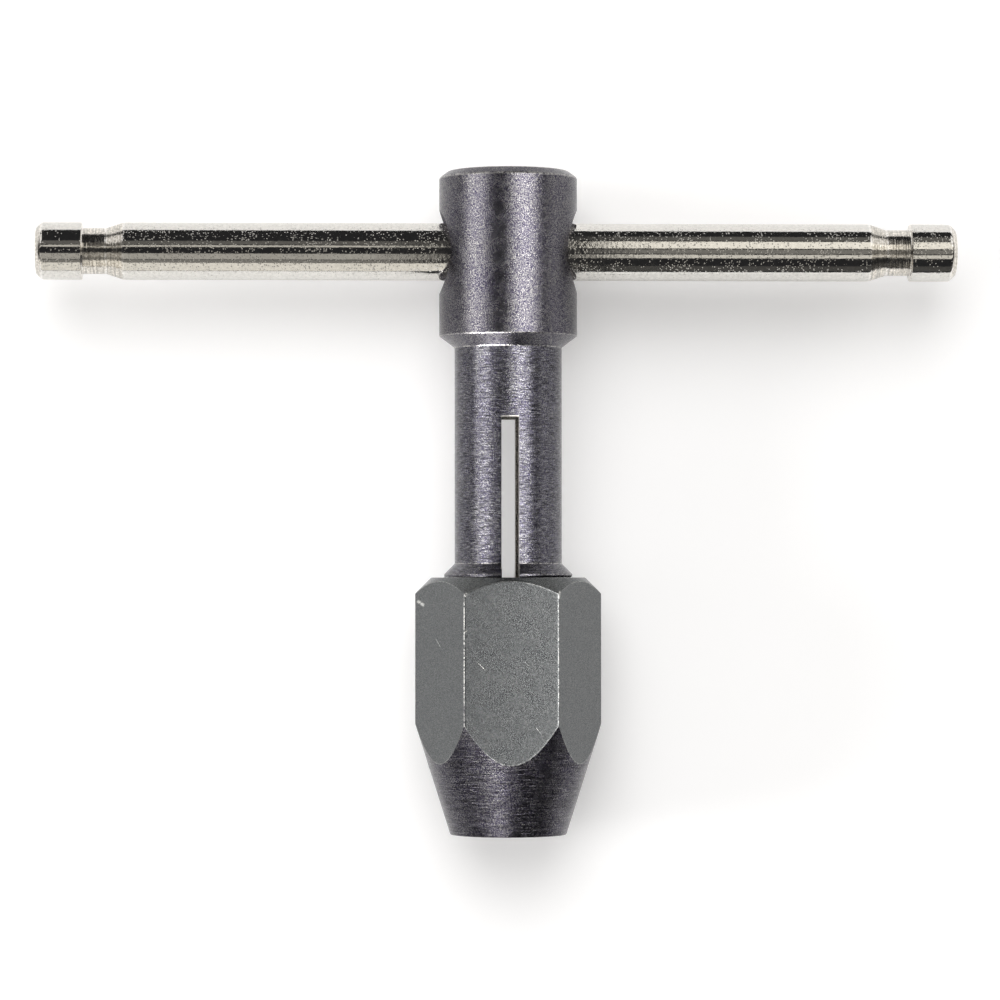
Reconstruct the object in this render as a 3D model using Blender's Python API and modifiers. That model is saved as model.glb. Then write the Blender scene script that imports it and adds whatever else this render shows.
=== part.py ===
"""Sliding T-handle tap wrench with a hexagon chuck nut and two V jaws.

The wrench lies on one flat of its chuck nut. Its axis runs along Y, with the nose of the nut
towards -Y and the head towards +Y, and the sliding handle rod runs along X through the head.
The origin is in the middle of the nut's lower flat. All sizes are in metres, and a station is
a distance from the nose of the nut along the axis.
"""

import math

import bmesh
import bpy

# ---------------------------------------------------------------- driving dimensions
# Tap squares, across flats: the smallest and largest gripped, and the one set at rest
SQUARE_SMALLEST = 0.00475
SQUARE_LARGEST = 0.0074
SQUARE_AT_REST = 0.0064

# Body: head, neck and slotted threaded end
HEAD_RADIUS = 0.009525
HEAD_LENGTH = 0.0228
HEAD_TOP_CHAMFER_DEPTH = 0.00095
HEAD_TOP_CHAMFER_WIDTH = 0.0013
HEAD_CONE_LENGTH = 0.0016
NECK_RADIUS = 0.0074
NECK_LENGTH = 0.0298
SOLID_NECK_LENGTH = 0.0097
THREAD_RUN_OUT = 0.0019
THREAD_IN_NUT = 0.0150
THREAD_END_CHAMFER = 0.0006
BODY_BORE_RADIUS = 0.0051
SLOT_WIDTH = 0.0024
BORE_PAST_SLOT = 0.0009

# Handle rod and its grooved ends
ROD_RADIUS = 0.00397
ROD_LENGTH = 0.127
ROD_CAP_LENGTH = 0.00635
ROD_CAP_CHAMFER = 0.0008
ROD_GROOVE_LENGTH = 0.0033
ROD_GROOVE_DEPTH = 0.0008
ROD_TAPER_LENGTH = 0.0024
ROD_OFF_CENTRE = -0.0015
CROSS_HOLE_FROM_TOP = 0.01115
CROSS_HOLE_FLARE_WIDTH = 0.0018
CROSS_HOLE_FLARE_DEPTH = 0.0036

# Detent under the rod
BALL_RADIUS = 0.00238
DETENT_WIRE_RADIUS = 0.0003
DETENT_SPRING_TURNS = 8
DETENT_SCREW_LENGTH = 0.0030
DETENT_SCREW_INSET = 0.0014
DETENT_SOCKET_FLATS = 0.0020
DETENT_SOCKET_DEPTH = 0.0016

# Chuck nut
NUT_WALL = 0.00215
NUT_NOSE_RADIUS = 0.0080
NUT_TAPER_ANGLE = math.radians(17.6)
NUT_LENGTH_PAST_BODY = 0.0204
NUT_TOP_FACE_INSET = 0.00052
NUT_MOUTH_RADIUS = 0.00515
NUT_LIP_LENGTH = 0.0015

# Closing cone and jaws
CLOSING_ANGLE = math.radians(17.6)
RING_WALL = 0.0012
RING_LENGTH = 0.00697
JAW_CLOSED_GAP = 0.0005
TONGUE_LENGTH = 0.0060
TONGUE_DEPTH = 0.0034
JAW_SPRING_FROM_TOP = 0.0032
JAW_SPRING_WIRE_RADIUS = 0.00016
JAW_SPRING_TURNS = 7
POCKET_WALL = 0.0006

# Clearances
THREAD_CLEARANCE = 0.00015
ROD_CLEARANCE = 0.00008
BALL_CLEARANCE = 0.00012
SCREW_CLEARANCE = 0.00010
SPRING_CLEARANCE = 0.00015
RING_CLEARANCE = 0.00010
JAW_CONE_CLEARANCE = 0.00005
JAW_BORE_CLEARANCE = 0.00035
TONGUE_CLEARANCE = 0.00010
REST_GAP = 0.0003

# Facets of a full turn, and how far a cutter stands past what it cuts
ROUND_STEPS = 64
SMALL_STEPS = 32
PAST = 0.001
MERGE = 0.00001

# ---------------------------------------------------------------- worked-out sizes
CLOSING_SLOPE = math.tan(CLOSING_ANGLE)
CORNER_PER_FLAT = math.sqrt(2) / 2


def vee_depth(square):
    """Distance from the axis to the apex of a jaw's vee around a tap square."""
    return square * CORNER_PER_FLAT


JAW_OPENED_AT_REST = vee_depth(SQUARE_AT_REST) - vee_depth(SQUARE_SMALLEST)
JAW_FULL_OPENING = vee_depth(SQUARE_LARGEST) - vee_depth(SQUARE_SMALLEST)
CLOSING_TRAVEL = JAW_OPENED_AT_REST / CLOSING_SLOPE

# Stations of the closing cone; the nut's bore starts where the cone's pocket ends
RING_BOTTOM = NUT_LIP_LENGTH + 2 * RING_CLEARANCE
RING_TOP = RING_BOTTOM + RING_LENGTH
POCKET_TOP = RING_TOP + 2 * REST_GAP
RING_BOTTOM_RADIUS = NUT_MOUTH_RADIUS + THREAD_CLEARANCE
POCKET_BOTTOM_RADIUS = RING_BOTTOM_RADIUS + RING_WALL + RING_CLEARANCE

NUT_BORE_RADIUS = POCKET_BOTTOM_RADIUS + (POCKET_TOP - RING_BOTTOM) * CLOSING_SLOPE
THREAD_RADIUS = NUT_BORE_RADIUS - THREAD_CLEARANCE
NUT_FLAT_DISTANCE = NUT_BORE_RADIUS + NUT_WALL
NUT_CORNER_RADIUS = NUT_FLAT_DISTANCE / math.cos(math.pi / 6)
NUT_TOP_FACE_RADIUS = NUT_FLAT_DISTANCE - NUT_TOP_FACE_INSET

# Stations, from the nose of the nut towards the head
JAW_BOTTOM = NUT_LIP_LENGTH + CLOSING_TRAVEL + REST_GAP
BODY_END = NUT_LENGTH_PAST_BODY
JAW_TOP = BODY_END - REST_GAP
NUT_TOP = BODY_END + THREAD_IN_NUT
THREAD_TOP = NUT_TOP + THREAD_RUN_OUT
NECK_TOP = THREAD_TOP + NECK_LENGTH
SLOT_END = NECK_TOP - SOLID_NECK_LENGTH
BORE_TOP = SLOT_END + BORE_PAST_SLOT
HEAD_BOTTOM = NECK_TOP + HEAD_CONE_LENGTH
HEAD_TOP = HEAD_BOTTOM + HEAD_LENGTH
CROSS_HOLE = HEAD_TOP - CROSS_HOLE_FROM_TOP

# Detent: the screw sits at the foot of the small bore, and the spring fills what is left
BALL_CENTRE = CROSS_HOLE - ROD_RADIUS - REST_GAP - BALL_RADIUS
DETENT_SCREW_BOTTOM = BORE_TOP + DETENT_SCREW_INSET
DETENT_SCREW_TOP = DETENT_SCREW_BOTTOM + DETENT_SCREW_LENGTH
DETENT_SPRING_BOTTOM = DETENT_SCREW_TOP + REST_GAP
DETENT_SPRING_LENGTH = BALL_CENTRE - BALL_RADIUS - REST_GAP - DETENT_SPRING_BOTTOM
BALL_BORE_RADIUS = BALL_RADIUS + BALL_CLEARANCE

# Jaws, worked out with the chuck fully closed: there their cones fit the ring's cone
JAW_RADIUS = NUT_BORE_RADIUS - JAW_FULL_OPENING - JAW_BORE_CLEARANCE
JAW_BOTTOM_RADIUS = (
    RING_BOTTOM_RADIUS
    + (JAW_BOTTOM - RING_BOTTOM - CLOSING_TRAVEL) * CLOSING_SLOPE
    - JAW_CONE_CLEARANCE
)
JAW_CONE_TOP = JAW_BOTTOM + (JAW_RADIUS - JAW_BOTTOM_RADIUS) / CLOSING_SLOPE
VEE_HALF_WIDTH = vee_depth(SQUARE_SMALLEST) - JAW_CLOSED_GAP / 2
POCKET_X = (VEE_HALF_WIDTH + JAW_RADIUS) / 2
POCKET_RADIUS = (JAW_RADIUS - VEE_HALF_WIDTH) / 2 - POCKET_WALL
POCKET_FLOOR = math.sqrt(JAW_RADIUS**2 - (POCKET_X + POCKET_RADIUS) ** 2) - POCKET_WALL
JAW_SPRING_STATION = JAW_TOP - JAW_SPRING_FROM_TOP

# Where the axis and the nose lie in the object's frame
AXIS_Z = NUT_FLAT_DISTANCE
FLAT_TOP = NUT_TOP - (NUT_CORNER_RADIUS - NUT_TOP_FACE_RADIUS)
FLAT_BOTTOM = (NUT_CORNER_RADIUS - NUT_NOSE_RADIUS) / math.tan(NUT_TAPER_ANGLE)
NOSE_Y = -(FLAT_TOP + FLAT_BOTTOM) / 2

# Turns of an object that bring its own Z onto the frame's Y, X or Z
ALONG_Y = (-math.pi / 2, 0, 0)
ALONG_X = (0, math.pi / 2, 0)
ALONG_Z = (0, 0, 0)


# ---------------------------------------------------------------- helpers
def clear_scene():
    for item in list(bpy.data.objects):
        bpy.data.objects.remove(item, do_unlink=True)
    for group in list(bpy.data.collections):
        bpy.data.collections.remove(group)


def new_collection(name):
    group = bpy.data.collections.new(name)
    bpy.context.scene.collection.children.link(group)
    return group


def steel(name, colour, roughness):
    """A Principled metal of one colour."""
    material = bpy.data.materials.new(name)
    material.use_nodes = True
    shader = material.node_tree.nodes["Principled BSDF"]
    shader.inputs["Base Color"].default_value = (*colour, 1.0)
    shader.inputs["Roughness"].default_value = roughness
    shader.inputs["Metallic"].default_value = 1.0
    material.diffuse_color = (*colour, 1.0)
    return material


def add_object(name, data, group, place=(0, 0, 0), turn=ALONG_Z):
    item = bpy.data.objects.new(name, data)
    group.objects.link(item)
    item.location = place
    item.rotation_euler = turn
    if group is CUTTERS:
        item.hide_render = True
        item.display_type = "WIRE"
    return item


def on_axis(station=0.0):
    """The point of the wrench's axis at a station."""
    return (0, NOSE_Y + station, AXIS_Z)


def turned(name, profile, group, place, turn, steps=ROUND_STEPS):
    """A turned solid. The profile's (radius, height) points run down its outer side; one that
    starts and ends on the axis makes a solid body, and any other is closed into a ring."""
    mesh = bpy.data.meshes.new(name)
    points = [(radius, 0.0, height) for radius, height in profile]
    edges = [(i, i + 1) for i in range(len(points) - 1)]
    if profile[0][0] > 0:
        edges.append((len(points) - 1, 0))
    mesh.from_pydata(points, edges, [])
    item = add_object(name, mesh, group, place, turn)
    screw = item.modifiers.new("Turn", "SCREW")
    screw.axis = "Z"
    screw.angle = 2 * math.pi
    screw.steps = steps
    screw.render_steps = steps
    screw.use_merge_vertices = True
    screw.merge_threshold = MERGE
    screw.use_smooth_shade = True
    return item


def prism(name, sides, flat_distance, low, high, group, place, turn):
    """A regular prism along its own Z, with a corner on its X."""
    mesh = bpy.data.meshes.new(name)
    shape = bmesh.new()
    bmesh.ops.create_cone(
        shape,
        cap_ends=True,
        segments=sides,
        radius1=flat_distance / math.cos(math.pi / sides),
        radius2=flat_distance / math.cos(math.pi / sides),
        depth=high - low,
    )
    for vertex in shape.verts:
        x, y, z = vertex.co
        vertex.co = (y, -x, z + (high + low) / 2)
    shape.to_mesh(mesh)
    shape.free()
    return add_object(name, mesh, group, place, turn)


def block(name, low, high, group):
    """A box between two corners given in the object's frame."""
    mesh = bpy.data.meshes.new(name)
    shape = bmesh.new()
    bmesh.ops.create_cube(shape, size=1.0)
    middle = [(a + b) / 2 for a, b in zip(low, high)]
    for vertex in shape.verts:
        for axis in range(3):
            vertex.co[axis] *= high[axis] - low[axis]
    shape.to_mesh(mesh)
    shape.free()
    return add_object(name, mesh, group, middle)


def boolean(item, other, operation="DIFFERENCE"):
    cut = item.modifiers.new(other.name, "BOOLEAN")
    cut.operation = operation
    cut.solver = "EXACT"
    cut.object = other
    return cut


def coil(name, radius, wire_radius, length, turns, group, place, turn, points_per_turn=10):
    """A compression spring along its own Z with a closed turn at each end."""
    end_pitch = 2.3 * wire_radius
    open_turns = turns - 2
    middle_pitch = (length - 2 * wire_radius - 2 * end_pitch) / open_turns
    curve = bpy.data.curves.new(name, "CURVE")
    curve.dimensions = "3D"
    curve.bevel_depth = wire_radius
    curve.bevel_resolution = 2
    curve.use_fill_caps = True
    line = curve.splines.new("POLY")
    count = turns * points_per_turn + 1
    line.points.add(count - 1)
    for i in range(count):
        made = i / points_per_turn
        low_end = min(made, 1.0)
        high_end = max(made - (turns - 1), 0.0)
        middle = made - low_end - high_end
        height = wire_radius + (low_end + high_end) * end_pitch + middle * middle_pitch
        angle = 2 * math.pi * made
        line.points[i].co = (radius * math.cos(angle), radius * math.sin(angle), height, 1.0)
    return add_object(name, curve, group, place, turn)


def finish(item, material):
    item.data.materials.clear()
    item.data.materials.append(material)


# ---------------------------------------------------------------- sub-parts
def wrench_body(material):
    """Head, neck and threaded end in one turned piece, bored and slotted from below, with a
    flared cross hole for the handle rod and a small bore for the detent under it."""
    profile = [
        (0, HEAD_TOP),
        (HEAD_RADIUS - HEAD_TOP_CHAMFER_WIDTH, HEAD_TOP),
        (HEAD_RADIUS, HEAD_TOP - HEAD_TOP_CHAMFER_DEPTH),
        (HEAD_RADIUS, HEAD_BOTTOM),
        (NECK_RADIUS, NECK_TOP),
        (NECK_RADIUS, THREAD_TOP),
        (THREAD_RADIUS, THREAD_TOP - (THREAD_RADIUS - NECK_RADIUS)),
        (THREAD_RADIUS, BODY_END + THREAD_END_CHAMFER),
        (THREAD_RADIUS - THREAD_END_CHAMFER, BODY_END),
        (0, BODY_END),
    ]
    body = turned("wrench_body", profile, PARTS, on_axis(), ALONG_Y)

    bore_profile = [
        (0, CROSS_HOLE),
        (BALL_BORE_RADIUS, CROSS_HOLE),
        (BALL_BORE_RADIUS, BORE_TOP),
        (BODY_BORE_RADIUS, BORE_TOP),
        (BODY_BORE_RADIUS, BODY_END - PAST),
        (0, BODY_END - PAST),
    ]
    boolean(body, turned("bore_cutter", bore_profile, CUTTERS, on_axis(), ALONG_Y))

    slot = block(
        "slot_cutter",
        (-SLOT_WIDTH / 2, NOSE_Y + BODY_END - PAST, AXIS_Z - HEAD_RADIUS - PAST),
        (SLOT_WIDTH / 2, NOSE_Y + SLOT_END, AXIS_Z + HEAD_RADIUS + PAST),
        CUTTERS,
    )
    boolean(body, slot)

    hole_radius = ROD_RADIUS + ROD_CLEARANCE
    flare_start = HEAD_RADIUS - CROSS_HOLE_FLARE_DEPTH
    slope = CROSS_HOLE_FLARE_WIDTH / CROSS_HOLE_FLARE_DEPTH
    reach = HEAD_RADIUS + PAST
    flare_radius = hole_radius + (reach - flare_start) * slope
    hole_profile = [
        (0, reach),
        (flare_radius, reach),
        (hole_radius, flare_start),
        (hole_radius, -flare_start),
        (flare_radius, -reach),
        (0, -reach),
    ]
    hole = turned("cross_hole_cutter", hole_profile, CUTTERS, on_axis(CROSS_HOLE), ALONG_X)
    boolean(body, hole)
    finish(body, material)


def handle_rod(material):
    """Sliding rod with a groove near each end: a steep shoulder on the cap's side and a
    gentle taper back up to the rod. Its origin is in the middle of the head's cross hole."""
    groove = ROD_RADIUS - ROD_GROOVE_DEPTH
    end = ROD_LENGTH / 2
    cap = end - ROD_CAP_LENGTH
    groove_end = cap - ROD_GROOVE_LENGTH
    taper_end = groove_end - ROD_TAPER_LENGTH
    outer_half = [
        (ROD_RADIUS - ROD_CAP_CHAMFER, end),
        (ROD_RADIUS, end - ROD_CAP_CHAMFER),
        (ROD_RADIUS, cap),
        (groove, cap),
        (groove, groove_end),
        (ROD_RADIUS, taper_end),
    ]
    mirrored = [(radius, -height) for radius, height in reversed(outer_half)]
    profile = [(0, end)] + outer_half + mirrored + [(0, -end)]
    shifted = [(radius, height + ROD_OFF_CENTRE) for radius, height in profile]
    rod = turned("handle_rod", shifted, PARTS, on_axis(CROSS_HOLE), ALONG_X)
    finish(rod, material)


def detent(ball_material, spring_material, screw_material):
    """Ball pressed up against the rod by a spring on a socket screw, in the body's bore."""
    mesh = bpy.data.meshes.new("detent_ball")
    shape = bmesh.new()
    bmesh.ops.create_uvsphere(shape, u_segments=24, v_segments=14, radius=BALL_RADIUS)
    for face in shape.faces:
        face.smooth = True
    shape.to_mesh(mesh)
    shape.free()
    ball = add_object("detent_ball", mesh, PARTS, on_axis(BALL_CENTRE), ALONG_Y)
    finish(ball, ball_material)

    spring_radius = BALL_BORE_RADIUS - SPRING_CLEARANCE - DETENT_WIRE_RADIUS
    spring = coil(
        "detent_spring",
        spring_radius,
        DETENT_WIRE_RADIUS,
        DETENT_SPRING_LENGTH,
        DETENT_SPRING_TURNS,
        PARTS,
        on_axis(DETENT_SPRING_BOTTOM),
        ALONG_Y,
    )
    finish(spring, spring_material)

    radius = BALL_BORE_RADIUS - SCREW_CLEARANCE
    profile = [
        (0, DETENT_SCREW_TOP),
        (radius, DETENT_SCREW_TOP),
        (radius, DETENT_SCREW_BOTTOM),
        (0, DETENT_SCREW_BOTTOM),
    ]
    screw = turned("detent_screw", profile, PARTS, on_axis(), ALONG_Y, SMALL_STEPS)
    socket = prism(
        "socket_cutter",
        6,
        DETENT_SOCKET_FLATS / 2,
        DETENT_SCREW_BOTTOM - PAST,
        DETENT_SCREW_BOTTOM + DETENT_SOCKET_DEPTH,
        CUTTERS,
        on_axis(),
        ALONG_Y,
    )
    boolean(screw, socket)
    finish(screw, screw_material)


def chuck_nut(material):
    """Hexagon nut with a chamfered top and a long tapered nose, bored for the body's thread
    and tapered inside for the closing ring."""
    reach = NUT_CORNER_RADIUS + PAST
    profile = [
        (NUT_BORE_RADIUS, NUT_TOP),
        (NUT_TOP_FACE_RADIUS, NUT_TOP),
        (reach, NUT_TOP - (reach - NUT_TOP_FACE_RADIUS)),
        (reach, (reach - NUT_NOSE_RADIUS) / math.tan(NUT_TAPER_ANGLE)),
        (NUT_NOSE_RADIUS, 0),
        (NUT_MOUTH_RADIUS, 0),
        (NUT_MOUTH_RADIUS, NUT_LIP_LENGTH),
        (POCKET_BOTTOM_RADIUS, NUT_LIP_LENGTH),
        (POCKET_BOTTOM_RADIUS, RING_BOTTOM),
        (NUT_BORE_RADIUS, POCKET_TOP),
    ]
    nut = turned("chuck_nut", profile, PARTS, on_axis(), ALONG_Y)
    hexagon = prism(
        "nut_hexagon",
        6,
        NUT_FLAT_DISTANCE,
        -PAST,
        NUT_TOP + PAST,
        CUTTERS,
        on_axis(),
        ALONG_Y,
    )
    boolean(nut, hexagon, "INTERSECT")
    finish(nut, material)


def closing_ring(material):
    """Tapered ring seated in the nut's nose, whose inner cone closes the jaws."""
    top_radius = RING_BOTTOM_RADIUS + RING_LENGTH * CLOSING_SLOPE
    profile = [
        (top_radius + RING_WALL, RING_TOP),
        (RING_BOTTOM_RADIUS + RING_WALL, RING_BOTTOM),
        (RING_BOTTOM_RADIUS, RING_BOTTOM),
        (top_radius, RING_TOP),
    ]
    ring = turned("closing_ring", profile, PARTS, on_axis(), ALONG_Y)
    finish(ring, material)


def jaw(name, side, material):
    """Half-round jaw on one side of the axis (+1 is up, -1 is down), with a vee along its flat
    face, pockets for the two springs and a tongue that runs in the body's slot."""
    opened = side * JAW_OPENED_AT_REST
    centre = (0, NOSE_Y, AXIS_Z + opened)
    profile = [
        (0, JAW_TOP),
        (JAW_RADIUS, JAW_TOP),
        (JAW_RADIUS, JAW_CONE_TOP),
        (JAW_BOTTOM_RADIUS, JAW_BOTTOM),
        (0, JAW_BOTTOM),
    ]
    item = turned(name, profile, PARTS, centre, ALONG_Y)

    tongue_half = SLOT_WIDTH / 2 - TONGUE_CLEARANCE
    tongue_edges = sorted((
        AXIS_Z + opened + side * (JAW_RADIUS - TONGUE_DEPTH),
        AXIS_Z + opened + side * (JAW_RADIUS - TONGUE_CLEARANCE),
    ))
    tongue = block(
        name + "_tongue",
        (-tongue_half, NOSE_Y + JAW_TOP - PAST, tongue_edges[0]),
        (tongue_half, NOSE_Y + JAW_TOP + TONGUE_LENGTH, tongue_edges[1]),
        CUTTERS,
    )
    boolean(item, tongue, "UNION")

    far_side = AXIS_Z - side * (JAW_RADIUS + JAW_FULL_OPENING)
    face = AXIS_Z + opened + side * JAW_CLOSED_GAP / 2
    low, high = sorted((far_side, face))
    other_half = block(
        name + "_half_cutter",
        (-JAW_RADIUS - PAST, NOSE_Y + JAW_BOTTOM - PAST, low),
        (JAW_RADIUS + PAST, NOSE_Y + JAW_TOP + TONGUE_LENGTH + PAST, high),
        CUTTERS,
    )
    boolean(item, other_half)

    vee = prism(
        name + "_vee_cutter",
        4,
        SQUARE_SMALLEST / 2,
        JAW_BOTTOM - PAST,
        JAW_TOP + PAST,
        CUTTERS,
        centre,
        ALONG_Y,
    )
    boolean(item, vee)

    for hand, place in (("left", -1), ("right", 1)):
        pocket = turned(
            f"{name}_{hand}_pocket_cutter",
            [(0, POCKET_FLOOR), (POCKET_RADIUS, POCKET_FLOOR), (POCKET_RADIUS, -PAST), (0, -PAST)],
            CUTTERS,
            (place * POCKET_X, NOSE_Y + JAW_SPRING_STATION, AXIS_Z + opened),
            ALONG_Z if side > 0 else (math.pi, 0, 0),
            SMALL_STEPS,
        )
        boolean(item, pocket)
    finish(item, material)


def jaw_springs(material):
    """Two small springs across the axis that push the jaws apart as the nut is backed off."""
    half_length = POCKET_FLOOR + JAW_OPENED_AT_REST - SPRING_CLEARANCE
    for hand, side in (("left", -1), ("right", 1)):
        spring = coil(
            f"jaw_spring_{hand}",
            POCKET_RADIUS - SPRING_CLEARANCE - JAW_SPRING_WIRE_RADIUS,
            JAW_SPRING_WIRE_RADIUS,
            2 * half_length,
            JAW_SPRING_TURNS,
            PARTS,
            (side * POCKET_X, NOSE_Y + JAW_SPRING_STATION, AXIS_Z - half_length),
            ALONG_Z,
        )
        finish(spring, material)


# ---------------------------------------------------------------- the assembly
clear_scene()
PARTS = new_collection("tap_wrench")
CUTTERS = new_collection("tap_wrench_cutters")

wrench_body(steel("blued_steel", (0.055, 0.05, 0.062), 0.38))
handle_rod(steel("nickel_plate", (0.62, 0.60, 0.57), 0.14))
detent(
    steel("ball_steel", (0.60, 0.60, 0.60), 0.12),
    steel("detent_spring_steel", (0.35, 0.35, 0.36), 0.30),
    steel("screw_steel", (0.06, 0.06, 0.065), 0.42),
)
chuck_nut(steel("nut_steel", (0.16, 0.16, 0.165), 0.42))
closing_ring(steel("ring_steel", (0.30, 0.30, 0.31), 0.28))
JAW_STEEL = steel("jaw_steel", (0.20, 0.19, 0.19), 0.32)
jaw("jaw_front", 1, JAW_STEEL)
jaw("jaw_rear", -1, JAW_STEEL)
jaw_springs(steel("jaw_spring_steel", (0.35, 0.35, 0.36), 0.30))
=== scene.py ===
"""The looks of a sliding T-handle tap wrench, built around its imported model.

Sizes are in metres, in the model's frame: the wrench's axis runs along Y, with the nose of the
chuck nut towards -Y and the head towards +Y, the handle rod runs along X, and Z is up.
"""

import math
from collections import namedtuple

import bmesh
import bpy
import numpy as np
from mathutils import Matrix, Vector


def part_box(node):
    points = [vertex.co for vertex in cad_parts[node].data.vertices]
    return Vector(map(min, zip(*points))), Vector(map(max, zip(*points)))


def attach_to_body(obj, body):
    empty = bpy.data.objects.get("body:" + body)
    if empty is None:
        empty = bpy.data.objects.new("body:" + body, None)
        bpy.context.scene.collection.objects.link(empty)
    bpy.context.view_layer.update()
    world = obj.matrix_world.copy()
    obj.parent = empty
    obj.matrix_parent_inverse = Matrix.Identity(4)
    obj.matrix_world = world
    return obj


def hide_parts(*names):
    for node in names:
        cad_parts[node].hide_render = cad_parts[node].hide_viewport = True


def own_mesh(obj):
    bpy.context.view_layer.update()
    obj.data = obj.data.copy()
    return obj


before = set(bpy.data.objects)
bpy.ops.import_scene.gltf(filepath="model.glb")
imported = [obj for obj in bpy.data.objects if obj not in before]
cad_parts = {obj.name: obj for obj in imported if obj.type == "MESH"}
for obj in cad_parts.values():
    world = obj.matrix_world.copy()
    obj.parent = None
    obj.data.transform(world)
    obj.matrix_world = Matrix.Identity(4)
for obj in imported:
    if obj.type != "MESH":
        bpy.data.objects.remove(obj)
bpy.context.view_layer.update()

# ---------------------------------------------------------------- places taken from the model
BODY_LOW, BODY_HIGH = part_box("wrench_body")
NUT_LOW, NUT_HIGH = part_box("chuck_nut")
ROD_LOW, ROD_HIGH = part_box("handle_rod")
RING_LOW, RING_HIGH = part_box("closing_ring")
DETENT_LOW, DETENT_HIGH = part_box("detent_spring")

AXIS_Z = (NUT_LOW.z + NUT_HIGH.z) / 2
HEAD_TOP = BODY_HIGH.y
BODY_END = BODY_LOW.y
HEAD_RADIUS = BODY_HIGH.x
CROSS_HOLE = (ROD_LOW.y + ROD_HIGH.y) / 2
ROD_RADIUS = (ROD_HIGH.z - ROD_LOW.z) / 2
NOSE = NUT_LOW.y
NUT_TOP = NUT_HIGH.y
NUT_FLAT_DISTANCE = (NUT_HIGH.z - NUT_LOW.z) / 2
JAW_TONGUE_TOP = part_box("jaw_front")[1].y

# ---------------------------------------------------------------- sizes shared with the model
HEAD_LENGTH = 0.0228
HEAD_TOP_CHAMFER_DEPTH = 0.00095
HEAD_TOP_CHAMFER_WIDTH = 0.0013
HEAD_CONE_LENGTH = 0.0016
NECK_RADIUS = 0.0074
SOLID_NECK_LENGTH = 0.0097
THREAD_RUN_OUT = 0.0019
THREAD_END_CHAMFER = 0.0006
BODY_BORE_RADIUS = 0.0051
SLOT_WIDTH = 0.0024
BORE_PAST_SLOT = 0.0009
BALL_BORE_RADIUS = 0.0025
HOLE_CLEARANCE = 0.00008
FLARE_WIDTH = 0.0018
FLARE_DEPTH = 0.0036

CAP_LENGTH = 0.00635
CAP_CHAMFER = 0.0008
GROOVE_LENGTH = 0.0033
GROOVE_DEPTH = 0.0008
TAPER_LENGTH = 0.0024

NUT_WALL = 0.00215
NOSE_RADIUS = 0.0080
NUT_TAPER_ANGLE = math.radians(17.6)
TOP_FACE_INSET = 0.00052
MOUTH_RADIUS = 0.00515
LIP_LENGTH = 0.0015
POCKET_BOTTOM_RADIUS = 0.0066
RING_WALL = 0.0012

THREAD_PITCH = 0.0010583
THREAD_DEPTH = 0.00062
THREAD_CLEARANCE = 0.00015
NUT_BACK_TRAVEL = 0.00223

SQUARE_SMALLEST = 0.00475
JAW_RADIUS = 0.00678
JAW_OPENED_AT_REST = 0.001167
JAW_CLOSED_GAP = 0.0005
JAW_END_CLEARANCE = 0.0003
TONGUE_DEPTH = 0.0034
TONGUE_CLEARANCE = 0.0001
JAW_SPRING_WIRE = 0.00016
SPRING_CLEARANCE = 0.00015
JAW_SPRING_TURNS = 7
DETENT_WIRE = 0.0003
DETENT_TURNS = 8

# ---------------------------------------------------------------- worked out from the above
TAPER_SLOPE = math.tan(NUT_TAPER_ANGLE)
RING_BOTTOM_RADIUS = MOUTH_RADIUS + THREAD_CLEARANCE
HEAD_BOTTOM = HEAD_TOP - HEAD_LENGTH
NECK_TOP = HEAD_BOTTOM - HEAD_CONE_LENGTH
SLOT_END = NECK_TOP - SOLID_NECK_LENGTH
BORE_TOP = SLOT_END + BORE_PAST_SLOT
THREAD_TOP = NUT_TOP + THREAD_RUN_OUT
NUT_BORE_RADIUS = NUT_FLAT_DISTANCE - NUT_WALL
THREAD_RADIUS = NUT_BORE_RADIUS - THREAD_CLEARANCE
THREAD_SHOULDER = THREAD_TOP - (THREAD_RADIUS - NECK_RADIUS)
NUT_CORNER_RADIUS = NUT_FLAT_DISTANCE / math.cos(math.pi / 6)
TOP_FACE_RADIUS = NUT_FLAT_DISTANCE - TOP_FACE_INSET
POCKET_TOP = NOSE + LIP_LENGTH + (NUT_BORE_RADIUS - POCKET_BOTTOM_RADIUS) / TAPER_SLOPE
# The nut's thread starts above the jaws' tongues, even with the nut backed off.
NUT_THREAD_START = JAW_TONGUE_TOP + NUT_BACK_TRAVEL + THREAD_CLEARANCE

# ---------------------------------------------------------------- soft edges of the real metal
FINE_EDGE = 0.00008
EDGE = 0.00015
SOFT_EDGE = 0.0003
HEX_CORNER_EDGE = 0.00025
FLARE_EDGE = 0.001
NOSE_FACE_RADIUS = NOSE_RADIUS - 2 * EDGE
ARC_WEAR = 0.5
CREST_WEAR = 0.4

# ---------------------------------------------------------------- how finely shapes are divided
ARC_STEPS = 4
ROW_GAP = 0.0012
ROUND_STEPS = 192
ROUND_ANGLES = np.linspace(0, 2 * math.pi, ROUND_STEPS + 1)
FLAT_PARTS = 12
FLAT_COLUMNS = 9
CORNER_COLUMNS = 7
COIL_STEPS = 24
MERGE = 2e-7
# How far a cutter, or a joined piece, reaches past a face
PAST = 0.001

# ---------------------------------------------------------------- sizes of patterns in the metal
PATCH_SIZE = 0.0045
ROUGHNESS_PATCH_SIZE = 0.0016
WORN_PATCH_SIZE = 0.00035
RAGGED_SIZE = 0.00015
PITS_IN_A_CROWD = 18

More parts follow.
